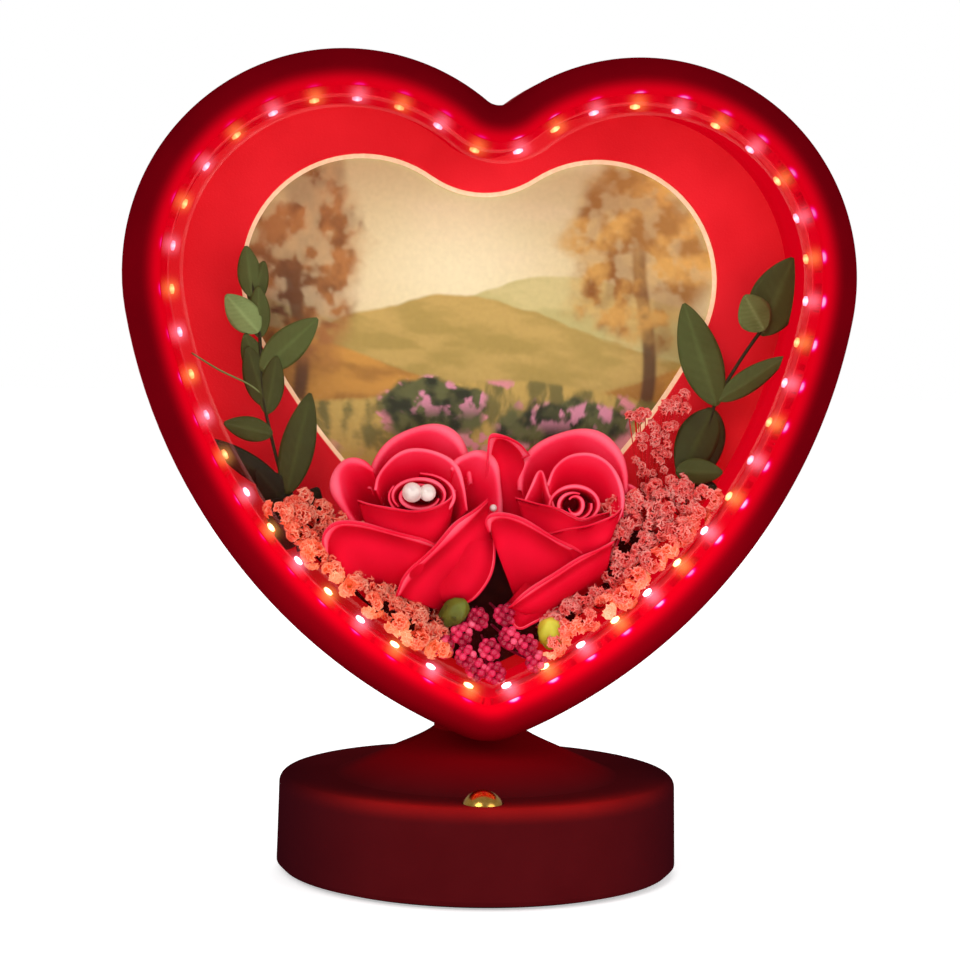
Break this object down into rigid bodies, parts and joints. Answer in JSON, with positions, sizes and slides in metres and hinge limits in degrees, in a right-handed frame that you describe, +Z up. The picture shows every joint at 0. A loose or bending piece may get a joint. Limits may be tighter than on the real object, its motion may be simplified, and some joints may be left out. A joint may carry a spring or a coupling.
{
  "type": "heart shaped photo frame",
  "caption": "Free-standing heart shaped display frame on a round base, with a lit rim, dried flowers in front of a matted picture, a rear door and a push button.",
  "frame": {"origin": "centre of the round base on the floor", "axes": "+Z up, -Y towards the front of the frame, +X to the viewer's right"},
  "size_m": [0.2, 0.112, 0.2255],
  "materials": {
    "heart_red": "glossy wine red",
    "base_red": "matte wine red",
    "clear": "clear moulded acrylic",
    "steel": "plain steel",
    "magnet": "plated magnet",
    "foam_black": "soft foam",
    "strip": "flexible circuit strip",
    "led_cool": "lit cool white",
    "led_warm": "lit warm yellow",
    "mat_red": "bright red card",
    "liner_cream": "cream card",
    "print": "printed picture",
    "board": "grey brown board",
    "foam_green": "dark green floral foam",
    "rose": "coral red soap petals",
    "pearl": "pearl lustre",
    "leaf": "dried green leaf",
    "blossom": "dried coral blossom",
    "bud": "dried green bud",
    "berry": "red berries",
    "wire": "insulated wire",
    "plate_black": "matte black",
    "foot": "black foam rubber",
    "gold": "polished gold",
    "cell": "plain dark sleeve",
    "circuit": "green circuit board",
    "switch": "black switch body"
  },
  "bodies": {
    "lamp": {"front_bezel": "heart_red", "rear_shell": "heart_red", "hinge_pin": "steel", "frame_magnets": "magnet", "heart_screws": "steel", "front_window": "clear", "led_strip": "strip", "leds_cool": "led_cool", "leds_warm": "led_warm", "mat_card": "mat_red", "mat_liner": "liner_cream", "photo_print": "print", "back_board": "board", "flower_foam": "foam_green", "rose_left": "rose", "rose_right": "rose", "pearls": "pearl", "leaf_sprig_left": "leaf", "leaf_sprig_right": "leaf", "filler_left": "blossom", "filler_right": "blossom", "green_buds": "bud", "berry_cluster": "berry", "lead_wires": "wire", "neck_tube": "steel", "neck_nut_top": "steel", "neck_nut_bottom": "steel", "base_shell": "base_red", "base_plate": "plate_black", "battery_cell_1": "cell", "battery_cell_2": "cell", "battery_cell_3": "cell", "contact_plates": "steel", "plate_screws": "steel", "foot_ring": "foot", "push_switch": "switch", "control_board": "circuit", "ballast_plate": "steel"},
    "rear_door": {"rear_door": "heart_red", "door_magnets": "magnet", "door_pads": "foam_black"},
    "battery_door": {"battery_door": "plate_black"},
    "button": {"power_button": "gold", "button_clip": "steel", "switch_plunger": "switch"}
  },
  "joints": [
    {"name": "rear_door_hinge", "type": "hinge", "parent": "lamp", "child": "rear_door", "pos_m": [0, 0.0248, 0.0473], "axis": [-1, 0, 0], "range_deg": [0, 95]},
    {"name": "battery_door_hinge", "type": "hinge", "parent": "lamp", "child": "battery_door", "pos_m": [0, 0.0332, 0.003], "axis": [1, 0, 0], "range_deg": [0, 90]},
    {"name": "button_press", "type": "slide", "parent": "lamp", "child": "button", "axis": [0, 0, -1], "range_m": [0, 0.0015], "stiffness_N_per_m": 300, "springref_m": -0.002}
  ]
}
